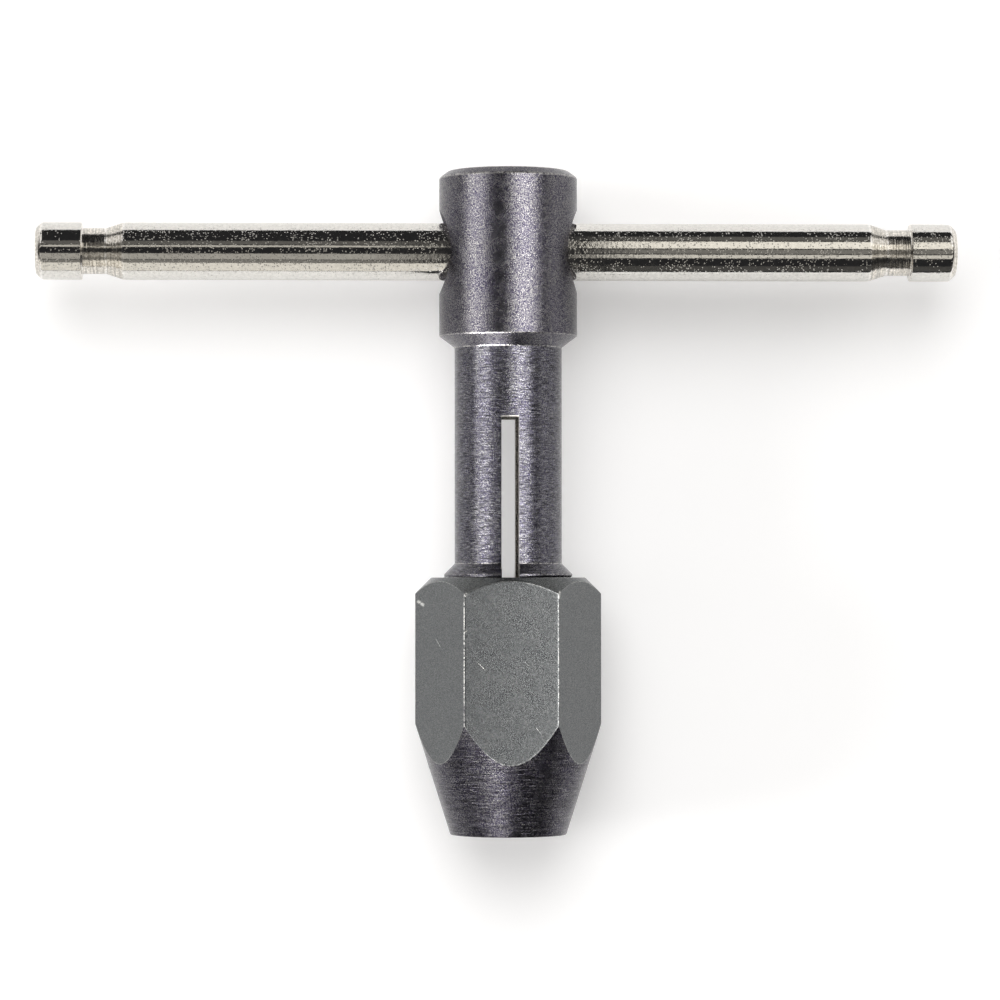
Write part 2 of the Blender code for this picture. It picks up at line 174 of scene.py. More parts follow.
# ---------------------------------------------------------------- stage and camera
STAGE_CENTRE = (0.0, (NOSE + HEAD_TOP) / 2, AXIS_Z)
FLOOR_REACH = 30
FLOOR_GAP = 0.00002
BACKDROP_RADIUS = 5
STRIP_DISTANCE = 0.60
PANEL_COLOUR = (1.0, 0.985, 0.97)
STRIP_COLOUR = (1.0, 0.96, 0.88)
CAMERA_LENS = 152.5
CAMERA_TILT = -1.04
CAMERA_ROLL = 2.17
CAMERA_SPIN = -0.02
CAMERA_OFFSET = (0.00113, -0.00034, -0.5847)

Axes = namedtuple("Axes", "along start side")
ALONG_Y = Axes((0, 1, 0), (0, 0, 1), (1, 0, 0))
ALONG_X = Axes((1, 0, 0), (0, 0, 1), (0, -1, 0))
ALONG_Z = Axes((0, 0, 1), (1, 0, 0), (0, 1, 0))
Row = namedtuple("Row", "radius height wear")


# ---------------------------------------------------------------- turned shapes
def rounded(outline):
    """Rows of a turned outline. Its points are (radius, height) or (radius, height, edge), where
    edge is the size of the soft edge there. Long stretches are split into short ones."""
    points = [Vector(p[:2]) for p in outline]
    edges = [p[2] if len(p) > 2 else 0 for p in outline]
    rows = [Row(*points[0], 0.0)]
    for before, corner, after, edge in zip(points, points[1:], points[2:], edges[1:]):
        into = before - corner
        out = after - corner
        reach = min(edge, 0.45 * into.length, 0.45 * out.length)
        if reach == 0:
            rows.append(Row(*corner, 0.0))
            continue
        start = corner + into.normalized() * reach
        end = corner + out.normalized() * reach
        rows += soft_corner(start, corner, end, 1.0)
    rows.append(Row(*points[-1], 0.0))
    return split_long(rows)


def soft_corner(start, corner, end, wear):
    """Rows of the curve that a soft edge takes at a corner."""
    rows = []
    for i in range(ARC_STEPS + 1):
        t = i / ARC_STEPS
        place = (1 - t) ** 2 * start + 2 * t * (1 - t) * corner + t**2 * end
        rows.append(Row(*place, wear * math.sin(math.pi * t)))
    return rows


def split_long(rows):
    """The same rows, with more between two that lie far apart along a straight stretch."""
    out = [rows[0]]
    for a, b in zip(rows, rows[1:]):
        length = math.hypot(b.radius - a.radius, b.height - a.height)
        parts = max(1, math.ceil(length / ROW_GAP))
        for i in range(1, parts):
            t = i / parts
            radius = a.radius + (b.radius - a.radius) * t
            height = a.height + (b.height - a.height) * t
            out.append(Row(radius, height, 0.0))
        out.append(b)
    return out


def thread_rows(angles, crest, depth, low, high):
    """Rows of a right-hand screw thread from high down to low. They follow the helix, so its
    crests and roots are crisp, and the thread fades out at both ends. Depth points inwards."""
    # Shares of the pitch, and of the depth there.
    shape = ((0.0, 0.0), (0.10, 0.0), (0.18, 0.12), (0.42, 0.88), (0.50, 1.0), (0.62, 1.0),
             (0.70, 0.88), (0.94, 0.12))
    fade = THREAD_PITCH * 0.8
    lead = THREAD_PITCH * angles / (2 * math.pi)
    turns = math.ceil((high - low) / THREAD_PITCH) + 2
    rows = []
    for turn in range(turns):
        for share, cut in shape:
            heights = high - (turn + share) * THREAD_PITCH + lead
            heights = np.clip(heights, low, high)
            ends = np.minimum(high - heights, heights - low) / fade
            radii = crest - depth * cut * np.clip(ends, 0, 1)
            rows.append(Row(radii, heights, CREST_WEAR * (1 - cut)))
    return rows


def shape_from_rows(name, rows, centre, axes, angles=ROUND_ANGLES, closed=False):
    """A closed mesh through turned rows; a row's radius, height and wear may vary by angle.
    Its edge_wear attribute holds the rows' wear."""
    if closed:
        rows = rows + rows[:1]
    spread = [[np.broadcast_to(value, angles.shape) for value in row] for row in rows]
    radii, heights, wear = (np.array(part) for part in zip(*spread))
    along, start, side = (np.array(axis, float) for axis in axes)
    outwards = np.outer(np.cos(angles), start) + np.outer(np.sin(angles), side)
    points = np.array(centre) + heights[..., None] * along + radii[..., None] * outwards

    shape = bmesh.new()
    layer = shape.verts.layers.float.new("edge_wear")
    grid = []
    for line, worn in zip(points, wear):
        verts = [shape.verts.new(point) for point in line]
        for vert, value in zip(verts, worn):
            vert[layer] = value
        grid.append(verts)
    for upper, lower in zip(grid, grid[1:]):
        for i in range(len(angles) - 1):
            shape.faces.new((upper[i], lower[i], lower[i + 1], upper[i + 1]))
    bmesh.ops.remove_doubles(shape, verts=shape.verts, dist=MERGE)
    bmesh.ops.dissolve_degenerate(shape, edges=shape.edges, dist=MERGE)
    bmesh.ops.recalc_face_normals(shape, faces=shape.faces)
    return object_from_bmesh(name, shape)


def object_from_bmesh(name, shape):
    """A new object with a bmesh's shape. The bmesh is freed."""
    mesh = bpy.data.meshes.new(name)
    shape.to_mesh(mesh)
    shape.free()
    return add_object(name, mesh)


def add_object(name, data):
    item = bpy.data.objects.new(name, data)
    bpy.context.scene.collection.objects.link(item)
    return item


def on_axis(height=0.0):
    """The place on the wrench's axis at a height along it."""
    return (0.0, height, AXIS_Z)


def extruded(name, outline, low, high):
    """A solid whose outline of (x, z) points is drawn out along Y."""
    shape = bmesh.new()
    verts = [shape.verts.new((x, low, z)) for x, z in outline]
    face = shape.faces.new(verts)
    made = bmesh.ops.extrude_face_region(shape, geom=[face])
    moved = [item for item in made["geom"] if isinstance(item, bmesh.types.BMVert)]
    bmesh.ops.translate(shape, verts=moved, vec=(0, high - low, 0))
    bmesh.ops.recalc_face_normals(shape, faces=shape.faces)
    return object_from_bmesh(name, shape)


def combine(item, others, operation="DIFFERENCE"):
    """Cuts the others out of a piece, or joins them to it, and removes them."""
    for other in others:
        step = item.modifiers.new(other.name, "BOOLEAN")
        step.operation = operation
        step.solver = "EXACT"
        step.object = other
    apply_modifiers(item)
    for other in others:
        bpy.data.objects.remove(other)


def apply_modifiers(item):
    """Gives a piece the mesh that its modifiers make, and removes them."""
    bpy.context.view_layer.update()
    depsgraph = bpy.context.evaluated_depsgraph_get()
    mesh = bpy.data.meshes.new_from_object(item.evaluated_get(depsgraph))
    item.modifiers.clear()
    item.data = mesh


def smooth(item, sharp_above=38):
    """Shades a piece smooth, apart from edges that turn by more than an angle in degrees."""
    item.data.shade_smooth()
    item.data.set_sharp_from_angle(angle=math.radians(sharp_above))
    level = item.modifiers.new("Weighted normals", "WEIGHTED_NORMAL")
    level.keep_sharp = True


def soften(item, width, angle=40):
    """Rounds every edge of a piece that turns by more than an angle in degrees."""
    step = item.modifiers.new("Soft edges", "BEVEL")
    step.width = width
    step.segments = 2
    step.limit_method = "ANGLE"
    step.angle_limit = math.radians(angle)
    step.use_clamp_overlap = True
    apply_modifiers(item)


# ---------------------------------------------------------------- materials
def make(tree, kind, settings=None, **sockets):
    """A node. A socket is named, or numbered as _0, and takes a value or another node's output."""
    item = tree.nodes.new(kind)
    for key, value in (settings or {}).items():
        setattr(item, key, value)
    for key, value in sockets.items():
        socket = item.inputs[int(key[1:])] if key[0] == "_" else item.inputs[key.replace("_", " ")]
        if isinstance(value, bpy.types.NodeSocket):
            tree.links.new(value, socket)
        else:
            socket.default_value = value
    return item


def math_node(tree, operation, first, second=0.0, clamp=False):
    settings = {"operation": operation, "use_clamp": clamp}
    return make(tree, "ShaderNodeMath", settings, _0=first, _1=second).outputs[0]


def stretch(tree, value, low, high, to_low=0.0, to_high=1.0):
    """A value mapped from one range to another, and held at its ends."""
    node = make(
        tree, "ShaderNodeMapRange", None,
        Value=value, From_Min=low, From_Max=high, To_Min=to_low, To_Max=to_high,
    )
    return node.outputs[0]


def mix_colour(tree, factor, first, second, blend="MIX"):
    settings = {"data_type": "RGBA", "blend_type": blend}
    return make(tree, "ShaderNodeMix", settings, _0=factor, _6=first, _7=second).outputs[2]


def noise(tree, place, size, detail=2.0, stretch_by=(1, 1, 1)):
    """A noise whose features are about one size, in metres, times a stretch along each axis."""
    scale = [1 / (size * s) for s in stretch_by]
    mapped = make(tree, "ShaderNodeMapping", None, Vector=place, Scale=scale)
    return make(
        tree, "ShaderNodeTexNoise", None,
        Vector=mapped.outputs[0], Scale=1.0, Detail=detail, Roughness=0.55,
    ).outputs[0]


def pits(tree, place, size, share):
    """A mask of small round pits in a share of the cells of a pattern."""
    cells = make(
        tree, "ShaderNodeTexVoronoi", None, Vector=place, Scale=1 / size, Randomness=1.0
    )
    channel = make(tree, "ShaderNodeSeparateColor", None, Color=cells.outputs["Color"])
    chosen = math_node(tree, "LESS_THAN", channel.outputs[0], share)
    dot = stretch(tree, cells.outputs["Distance"], 0.12, 0.38, 1.0, 0.0)
    return math_node(tree, "MULTIPLY", dot, chosen)


Grain = namedtuple("Grain", "size depth contrast")
Lines = namedtuple("Lines", "size depth contrast reach", defaults=(9,))
Pits = namedtuple("Pits", "size share depth roughness")
Scratch = namedtuple("Scratch", "x y angle length width")


def metal(name, dark, light, roughness, spread, grain, lines=None, along="Y", pitted=None,
          edge=None, scratches=()):
    """A metal with patches of two colours, a fine grain, turning lines round an axis, rough
    little pits, and bare worn edges. Grain and lines are bumps as well as colour."""
    material = bpy.data.materials.new(name)
    material.use_nodes = True
    tree = material.node_tree
    shader = tree.nodes["Principled BSDF"]
    place = make(tree, "ShaderNodeTexCoord").outputs["Object"]

    patches = noise(tree, place, PATCH_SIZE, 3.0)
    speck = stretch(tree, noise(tree, place, grain.size, 1.0), 0.30, 0.70)
    tint = math_node(tree, "ADD", math_node(tree, "MULTIPLY", patches, 0.3), speck)
    colour = mix_colour(tree, stretch(tree, tint, 0.3, 1.0), (*dark, 1), (*light, 1))
    rough_patches = noise(tree, place, ROUGHNESS_PATCH_SIZE, 2.0)
    rough = stretch(tree, rough_patches, 0.3, 0.7, roughness - spread, roughness + spread)
    height = math_node(tree, "MULTIPLY", speck, grain.depth)
    shade = stretch(tree, speck, 0.0, 1.0, 1 - grain.contrast, 1 + grain.contrast)

    if lines:
        reach = lines.reach
        stretched = (reach, 1, reach) if along == "Y" else (1, reach, reach)
        cut = stretch(tree, noise(tree, place, lines.size, 1.0, stretched), 0.30, 0.70)
        height = math_node(tree, "ADD", height, math_node(tree, "MULTIPLY", cut, lines.depth))
        lined = stretch(tree, cut, 0.0, 1.0, 1 - lines.contrast, 1 + lines.contrast)
        shade = math_node(tree, "MULTIPLY", shade, lined)
    if pitted:
        crowds = noise(tree, place, pitted.size * PITS_IN_A_CROWD, 2.0)
        crowded = stretch(tree, crowds, 0.32, 0.62)
        share = math_node(tree, "MULTIPLY", crowded, pitted.share)
        holes = pits(tree, place, pitted.size, share)
        sunk = math_node(tree, "MULTIPLY", holes, pitted.depth)
        height = math_node(tree, "SUBTRACT", height, sunk)
        rougher = math_node(tree, "MULTIPLY", holes, pitted.roughness)
        rough = math_node(tree, "ADD", rough, rougher)
    shade_colour = make(tree, "ShaderNodeCombineColor", None, Red=shade, Green=shade, Blue=shade)
    colour = mix_colour(tree, 1.0, colour, shade_colour.outputs[0], "MULTIPLY")

    if edge:
        worn = make(tree, "ShaderNodeAttribute", {"attribute_name": "edge_wear"}).outputs["Fac"]
        broken = stretch(tree, noise(tree, place, WORN_PATCH_SIZE, 3.0), 0.40, 0.56)
        bare = math_node(tree, "MULTIPLY", stretch(tree, worn, 0.25, 0.95), broken)
        colour = mix_colour(tree, bare, colour, (*edge, 1))
        for mark in scratches:
            colour = mix_colour(tree, scratch(tree, place, mark), colour, (*edge, 1))

    bump = make(tree, "ShaderNodeBump", None, Height=height, Strength=1.0, Distance=1.0)
    tree.links.new(colour, shader.inputs["Base Color"])
    tree.links.new(rough, shader.inputs["Roughness"])
    tree.links.new(bump.outputs[0], shader.inputs["Normal"])
    shader.inputs["Metallic"].default_value = 1.0
    return material


def scratch(tree, place, mark):
    """A mask of one short straight scratch, seen along Z, with a ragged edge."""
    turned = make(
        tree, "ShaderNodeMapping", {"vector_type": "TEXTURE"},
        Vector=place, Location=(mark.x, mark.y, 0), Rotation=(0, 0, math.radians(mark.angle)),
        Scale=(mark.length / 2, mark.width / 2, 1),
    )
    ragged = noise(tree, place, RAGGED_SIZE, 1.0)
    parts = make(tree, "ShaderNodeSeparateXYZ", None, Vector=turned.outputs[0])
    along = stretch(tree, math_node(tree, "ABSOLUTE", parts.outputs[0]), 0.7, 1.0, 1, 0)
    across = stretch(tree, math_node(tree, "ABSOLUTE", parts.outputs[1]), 0.3, 1.0, 1, 0)
    top_side = math_node(tree, "GREATER_THAN", parts.outputs[2], AXIS_Z)
    mask = math_node(tree, "MULTIPLY", math_node(tree, "MULTIPLY", along, across), top_side)
    return math_node(tree, "MULTIPLY", mask, stretch(tree, ragged, 0.35, 0.5), True)


def blued_head():
    return metal(
        "blued_steel_head", (0.040, 0.034, 0.070), (0.138, 0.136, 0.130), 0.27, 0.05,
        Grain(0.00014, 0.000012, 0.62), Lines(0.00012, 0.000001, 0.04, 30),
        edge=(0.36, 0.35, 0.34),
    )


def blued_neck():
    return metal(
        "blued_steel_neck", (0.040, 0.035, 0.070), (0.132, 0.132, 0.130), 0.26, 0.05,
        Grain(0.00013, 0.000010, 0.42), Lines(0.00012, 0.000020, 0.72, 9),
        edge=(0.36, 0.35, 0.34),
    )


def cut_steel():
    return metal(
        "cut_steel", (0.42, 0.40, 0.37), (0.58, 0.56, 0.53), 0.34, 0.06,
        Grain(0.00018, 0.000006, 0.15), Lines(0.00012, 0.000006, 0.15, 10),
        edge=(0.55, 0.54, 0.53),
    )


NUT_SCRATCHES = (
    Scratch(-0.00406, -0.0009, -45, 0.0017, 0.00014),
    Scratch(0.0038, -0.0098, -52, 0.0017, 0.00007),
    Scratch(-0.0121, 0.0076, -35, 0.0013, 0.00055),
    Scratch(-0.0062, 0.0088, 70, 0.0007, 0.00045),
    Scratch(0.0065, 0.0088, 82, 0.0012, 0.00035),
    Scratch(-0.0062, 0.0038, 60, 0.0006, 0.00030),
    Scratch(0.0021, -0.0006, -40, 0.0009, 0.00006),
    Scratch(-0.0098, 0.0022, -62, 0.0014, 0.00006),
)


def nut_flats():
    return metal(
        "nut_steel_flats", (0.098, 0.105, 0.108), (0.138, 0.142, 0.143), 0.27, 0.012,
        Grain(0.00014, 0.0000035, 0.30), None,
        edge=(0.62, 0.62, 0.60), scratches=NUT_SCRATCHES,
    )


def nut_turned():
    return metal(
        "nut_steel_turned", (0.030, 0.025, 0.054), (0.100, 0.098, 0.097), 0.26, 0.05,
        Grain(0.00015, 0.000014, 0.70), Lines(0.00018, 0.000018, 0.50, 16),
        edge=(0.36, 0.36, 0.35),
    )


def nickel_bright():
    return metal(
        "nickel_bright", (0.65, 0.635, 0.60), (0.70, 0.685, 0.65), 0.09, 0.03,
        Grain(0.00040, 0.0000020, 0.03), None, "X",
        pitted=Pits(0.00028, 0.85, 0.00002, 0.50), edge=(0.85, 0.83, 0.80),
    )


def nickel_turned():
    return metal(
        "nickel_turned", (0.50, 0.47, 0.42), (0.68, 0.65, 0.60), 0.16, 0.05,
        Grain(0.00030, 0.000004, 0.08), Lines(0.00016, 0.000012, 0.25, 20), "X",
        edge=(0.85, 0.83, 0.80),
    )


def hard_steel(name, dark, light, roughness):
    return metal(
        name, dark, light, roughness, 0.05,
        Grain(0.00015, 0.000003, 0.12), Lines(0.00014, 0.000003, 0.12, 12),
        edge=(0.60, 0.60, 0.58),
    )


# ---------------------------------------------------------------- pieces
def wear_finishes(item, *materials):
    """Gives a piece its materials, in the order of their indices."""
    item.data.materials.clear()
    for material in materials:
        item.data.materials.append(material)


def assign_finish(item, index, test):
    """Gives a material index to the faces whose middle passes a test."""
    for face in item.data.polygons:
        if test(face.center):
            face.material_index = index


def turned_body():
    """Head, neck and threaded end, with the real thread, the bore, the slot and the flared
    cross hole."""
    outside = rounded([
        (0, HEAD_TOP),
        (HEAD_RADIUS - HEAD_TOP_CHAMFER_WIDTH, HEAD_TOP, SOFT_EDGE),
        (HEAD_RADIUS, HEAD_TOP - HEAD_TOP_CHAMFER_DEPTH, SOFT_EDGE),
        (HEAD_RADIUS, HEAD_BOTTOM, EDGE),
        (NECK_RADIUS, NECK_TOP, EDGE),
        (NECK_RADIUS, THREAD_TOP, EDGE),
        (THREAD_RADIUS, THREAD_SHOULDER, FINE_EDGE),
        (THREAD_RADIUS, THREAD_SHOULDER - EDGE),
    ])
    thread = thread_rows(
        ROUND_ANGLES, THREAD_RADIUS, THREAD_DEPTH,
        BODY_END + THREAD_END_CHAMFER + EDGE, THREAD_SHOULDER - EDGE,
    )
    inside = rounded([
        (THREAD_RADIUS, BODY_END + THREAD_END_CHAMFER + EDGE),
        (THREAD_RADIUS, BODY_END + THREAD_END_CHAMFER, FINE_EDGE),
        (THREAD_RADIUS - THREAD_END_CHAMFER, BODY_END, FINE_EDGE),
        (BODY_BORE_RADIUS, BODY_END, EDGE),
        (BODY_BORE_RADIUS, BORE_TOP, FINE_EDGE),
        (BALL_BORE_RADIUS, BORE_TOP, FINE_EDGE),
        (BALL_BORE_RADIUS, CROSS_HOLE),
        (0, CROSS_HOLE),
    ])
    body = shape_from_rows("turned_body", outside + thread + inside, on_axis(), ALONG_Y)

    half = SLOT_WIDTH / 2
    reach = HEAD_RADIUS + PAST
    slot = extruded(
        "slot", [(-half, AXIS_Z - reach), (half, AXIS_Z - reach),
                 (half, AXIS_Z + reach), (-half, AXIS_Z + reach)],
        BODY_END - PAST, SLOT_END,
    )
    hole = shape_from_rows("cross_hole", cross_hole_rows(), on_axis(CROSS_HOLE), ALONG_X)
    combine(body, [slot, hole])
    smooth(body)
    wear_finishes(body, BLUED_HEAD, BLUED_NECK, CUT_STEEL)
    assign_finish(body, 1, lambda place: place.y < NECK_TOP)
    assign_finish(body, 2, is_cut)
    return body


def cross_hole_rows():
    """The cross hole's cutter: straight in the middle and flared to both mouths."""
    radius = ROD_RADIUS + HOLE_CLEARANCE
    start = HEAD_RADIUS - FLARE_DEPTH
    reach = HEAD_RADIUS + PAST
    mouth = radius + (reach - start) * FLARE_WIDTH / FLARE_DEPTH
    return rounded([
        (0, reach),
        (mouth, reach),
        (radius, start, FLARE_EDGE),
        (radius, -start, FLARE_EDGE),
        (mouth, -reach),
        (0, -reach),
    ])


def is_cut(place):
    """True for the slot's walls, the bore and the cross hole, which no turning tool blued."""
    off_axis = math.hypot(place.x, place.z - AXIS_Z)
    in_slot = abs(place.x) < SLOT_WIDTH / 2 + FINE_EDGE and place.y <= SLOT_END + FINE_EDGE
    in_bore = off_axis < BODY_BORE_RADIUS + FINE_EDGE and place.y < BORE_TOP + FINE_EDGE
    off_hole = math.hypot(place.y - CROSS_HOLE, place.z - AXIS_Z)
    in_hole = off_hole < ROD_RADIUS + FINE_EDGE and off_axis < HEAD_RADIUS - EDGE
    return in_slot or in_bore or in_hole


def hexagon_columns():
    """(angles, radii, wear) round a hexagon with rounded corners, with a flat at the start."""
    corner = NUT_CORNER_RADIUS - HEX_CORNER_EDGE / math.sin(math.pi / 3)
    tangent = HEX_CORNER_EDGE / math.tan(math.pi / 3) * math.sin(math.pi / 3)
    arc = math.asin(tangent / NUT_CORNER_RADIUS)
    flat = np.linspace(arc * 2, math.pi / 6, FLAT_COLUMNS)
    round_corner = np.linspace(-arc, arc, CORNER_COLUMNS)
    from_corner = np.concatenate([-flat[::-1], round_corner, flat[:-1]])
    angles = np.concatenate([from_corner + math.pi / 6 + i * math.pi / 3 for i in range(6)])
    angles = np.append(angles, 2 * math.pi)
    off_flat = (angles + math.pi / 6) % (math.pi / 3) - math.pi / 6
    off_corner = math.pi / 6 - np.abs(off_flat)
    on_flat = NUT_FLAT_DISTANCE / np.cos(off_flat)
    reach = np.maximum(HEX_CORNER_EDGE**2 - (corner * np.sin(off_corner)) ** 2, 0)
    on_arc = corner * np.cos(off_corner) + np.sqrt(reach)
    in_arc = off_corner < arc
    radii = np.where(in_arc, on_arc, on_flat)
    wear = np.clip(1 - off_corner / arc, 0, 1)
    return angles, radii, wear


def hexagon_nut():
    """Hexagon nut with a chamfered top and a tapered nose. Its rows follow the curved edges
    between the flats and the turned surfaces, so these edges are truly round."""
    angles, hexagon, corner_wear = hexagon_columns()
    columns = [nut_outside(radius) for radius in hexagon]
    outside = [Row(*(np.array(part) for part in zip(*same_row))) for same_row in zip(*columns)]
    first_flat_row = 2 * (ARC_STEPS + 1) + 1
    for index in range(first_flat_row, first_flat_row + FLAT_PARTS + 1):
        row = outside[index]
        outside[index] = row._replace(wear=np.maximum(row.wear, corner_wear))

    inside = rounded([
        (NOSE_FACE_RADIUS, NOSE),
        (MOUTH_RADIUS, NOSE, EDGE),
        (MOUTH_RADIUS, NOSE + LIP_LENGTH, FINE_EDGE),
        (POCKET_BOTTOM_RADIUS, NOSE + LIP_LENGTH),
        (NUT_BORE_RADIUS, POCKET_TOP, FINE_EDGE),
        (NUT_BORE_RADIUS, NUT_THREAD_START),
    ])
    thread = thread_rows(
        angles, NUT_BORE_RADIUS, THREAD_DEPTH, NUT_THREAD_START, NUT_TOP - SOFT_EDGE,
    )
    rows = outside + inside + thread[::-1]
    nut = shape_from_rows("hexagon_nut", rows, on_axis(), ALONG_Y, angles, closed=True)
    smooth(nut, 50)
    wear_finishes(nut, NUT_TURNED, NUT_FLATS, CUT_STEEL)
    assign_finish(nut, 1, lambda place: on_hexagon_flat(place) or place.y > (NOSE + NUT_TOP) / 2)
    assign_finish(nut, 2, in_nut_bore)
    return nut


def nut_outside(radius):
    """Rows of the nut's outside at one angle, where the hexagon lies at this radius. Every
    angle gives the same number of rows."""
    chamfer = NUT_TOP - (radius - TOP_FACE_RADIUS)
    taper = NOSE + (radius - NOSE_RADIUS) / TAPER_SLOPE
    points = [
        Vector((NUT_BORE_RADIUS + SOFT_EDGE, NUT_TOP)),
        Vector((TOP_FACE_RADIUS, NUT_TOP)),
        Vector((radius, chamfer)),
        Vector((radius, taper)),
        Vector((NOSE_RADIUS, NOSE)),
        Vector((NOSE_FACE_RADIUS, NOSE)),
    ]
    rows = [Row(*points[0], 0.0)]
    for before, corner, after in zip(points, points[1:], points[2:]):
        start = corner + (before - corner).normalized() * EDGE
        end = corner + (after - corner).normalized() * EDGE
        rows += soft_corner(start, corner, end, ARC_WEAR)
        starts_long_stretch = corner in points[2:4]
        if starts_long_stretch:
            following = after + (corner - after).normalized() * EDGE
            for part in range(1, FLAT_PARTS):
                rows.append(Row(*end.lerp(following, part / FLAT_PARTS), 0.0))
    return rows


def in_nut_bore(place):
    """True for a face inside the nut: its mouth, its pocket and its thread."""
    in_wall = NOSE_RADIUS - NUT_WALL / 2 + (place.y - NOSE) * TAPER_SLOPE
    inner = min(NUT_BORE_RADIUS + FINE_EDGE / 4, in_wall)
    return place.y > NOSE + FINE_EDGE and math.hypot(place.x, place.z - AXIS_Z) < inner


def on_hexagon_flat(place):
    """True for a face of the nut's six flats."""
    angle = math.atan2(place.x, place.z - AXIS_Z)
    off_flat = (angle + math.pi / 6) % (math.pi / 3) - math.pi / 6
    distance = math.hypot(place.x, place.z - AXIS_Z) * math.cos(off_flat)
    return distance > NUT_FLAT_DISTANCE - FINE_EDGE / 4


def sliding_rod():
    """The plated handle rod, with a groove, a taper and a soft cap at each end."""
    centre = (ROD_LOW.x + ROD_HIGH.x) / 2
    end = (ROD_HIGH.x - ROD_LOW.x) / 2
    cap = end - CAP_LENGTH
    groove_end = cap - GROOVE_LENGTH
    groove = ROD_RADIUS - GROOVE_DEPTH
    half = [
        (0, end),
        (ROD_RADIUS - CAP_CHAMFER, end, EDGE),
        (ROD_RADIUS, end - CAP_CHAMFER, SOFT_EDGE),
        (ROD_RADIUS, cap, FINE_EDGE),
        (groove, cap, EDGE),
        (groove, groove_end, SOFT_EDGE),
        (ROD_RADIUS, groove_end - TAPER_LENGTH, SOFT_EDGE),
    ]
    mirrored = [(point[0], -point[1], *point[2:]) for point in half[::-1]]
    rows = rounded(half + mirrored)
    rod = shape_from_rows("sliding_rod", rows, (centre, CROSS_HOLE, AXIS_Z), ALONG_X)
    smooth(rod)
    wear_finishes(rod, NICKEL_BRIGHT, NICKEL_TURNED)

    def is_turned(place):
        off_centre = abs(place.x - centre)
        in_groove = groove_end - TAPER_LENGTH < off_centre < cap + FINE_EDGE
        return in_groove or off_centre > end - CAP_CHAMFER

    assign_finish(rod, 1, is_turned)
    return rod


def jaw(name, node, side):
    """Half-round jaw with a cone at its foot, a vee for the tap's square, a pocket for each
    spring and a tongue in the body's slot. Side is 1 for the upper jaw and -1 for the lower."""
    low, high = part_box(node)
    centre_z = AXIS_Z + side * JAW_OPENED_AT_REST
    jaw_top = BODY_END - JAW_END_CLEARANCE
    above_ring = low.y - RING_LOW.y - JAW_OPENED_AT_REST / TAPER_SLOPE
    bottom_radius = RING_BOTTOM_RADIUS + above_ring * TAPER_SLOPE - FINE_EDGE
    cone_top = low.y + (JAW_RADIUS - bottom_radius) / TAPER_SLOPE
    rows = rounded([
        (0, jaw_top), (JAW_RADIUS, jaw_top), (JAW_RADIUS, cone_top),
        (bottom_radius, low.y), (0, low.y),
    ])
    item = shape_from_rows(name, rows, (0, 0, centre_z), ALONG_Y)

    half = SLOT_WIDTH / 2 - TONGUE_CLEARANCE
    outer = centre_z + side * (JAW_RADIUS - TONGUE_CLEARANCE)
    inner = centre_z + side * (JAW_RADIUS - TONGUE_DEPTH)
    tongue = extruded(
        "tongue", [(-half, inner), (half, inner), (half, outer), (-half, outer)],
        jaw_top - PAST, high.y,
    )
    combine(item, [tongue], "UNION")
    face = centre_z + side * JAW_CLOSED_GAP / 2
    beyond = centre_z - side * 3 * JAW_RADIUS
    wide = JAW_RADIUS + PAST
    other_half = extruded(
        "other_half", [(-wide, face), (wide, face), (wide, beyond), (-wide, beyond)],
        low.y - PAST, high.y + PAST,
    )
    vee_reach = SQUARE_SMALLEST * math.sqrt(2) / 2
    vee = extruded(
        "vee", [(-vee_reach, centre_z), (0, centre_z - vee_reach),
                (vee_reach, centre_z), (0, centre_z + vee_reach)],
        low.y - PAST, high.y + PAST,
    )
    pockets = [spring_pocket(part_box("jaw_spring_" + hand), side) for hand in ("left", "right")]
    combine(item, [other_half, vee, *pockets])
    soften(item, FINE_EDGE)
    smooth(item, 30)
    wear_finishes(item, JAW_STEEL)
    return item


def spring_pocket(spring_box, side):
    """The cutter of one spring's pocket in a jaw."""
    low, high = spring_box
    middle = (low + high) / 2
    radius = (high.x - low.x) / 2 + SPRING_CLEARANCE
    depth = side * ((high.z - low.z) / 2 + SPRING_CLEARANCE)
    rows = rounded([(0, depth), (radius, depth), (radius, 0), (0, 0)])
    return shape_from_rows("spring_pocket", rows, tuple(middle), ALONG_Z)


def tapered_ring():
    """The hardened ring that closes the jaws with its cone."""
    top_radius = RING_BOTTOM_RADIUS + (RING_HIGH.y - RING_LOW.y) * TAPER_SLOPE
    seam = (top_radius + RING_WALL / 2, RING_HIGH.y)
    rows = rounded([
        seam,
        (top_radius + RING_WALL, RING_HIGH.y, EDGE),
        (RING_BOTTOM_RADIUS + RING_WALL, RING_LOW.y, EDGE),
        (RING_BOTTOM_RADIUS, RING_LOW.y, EDGE),
        (top_radius, RING_HIGH.y, EDGE),
        seam,
    ])
    ring = shape_from_rows("tapered_ring", rows, on_axis(), ALONG_Y, closed=True)
    smooth(ring)
    wear_finishes(ring, RING_STEEL)
    return ring


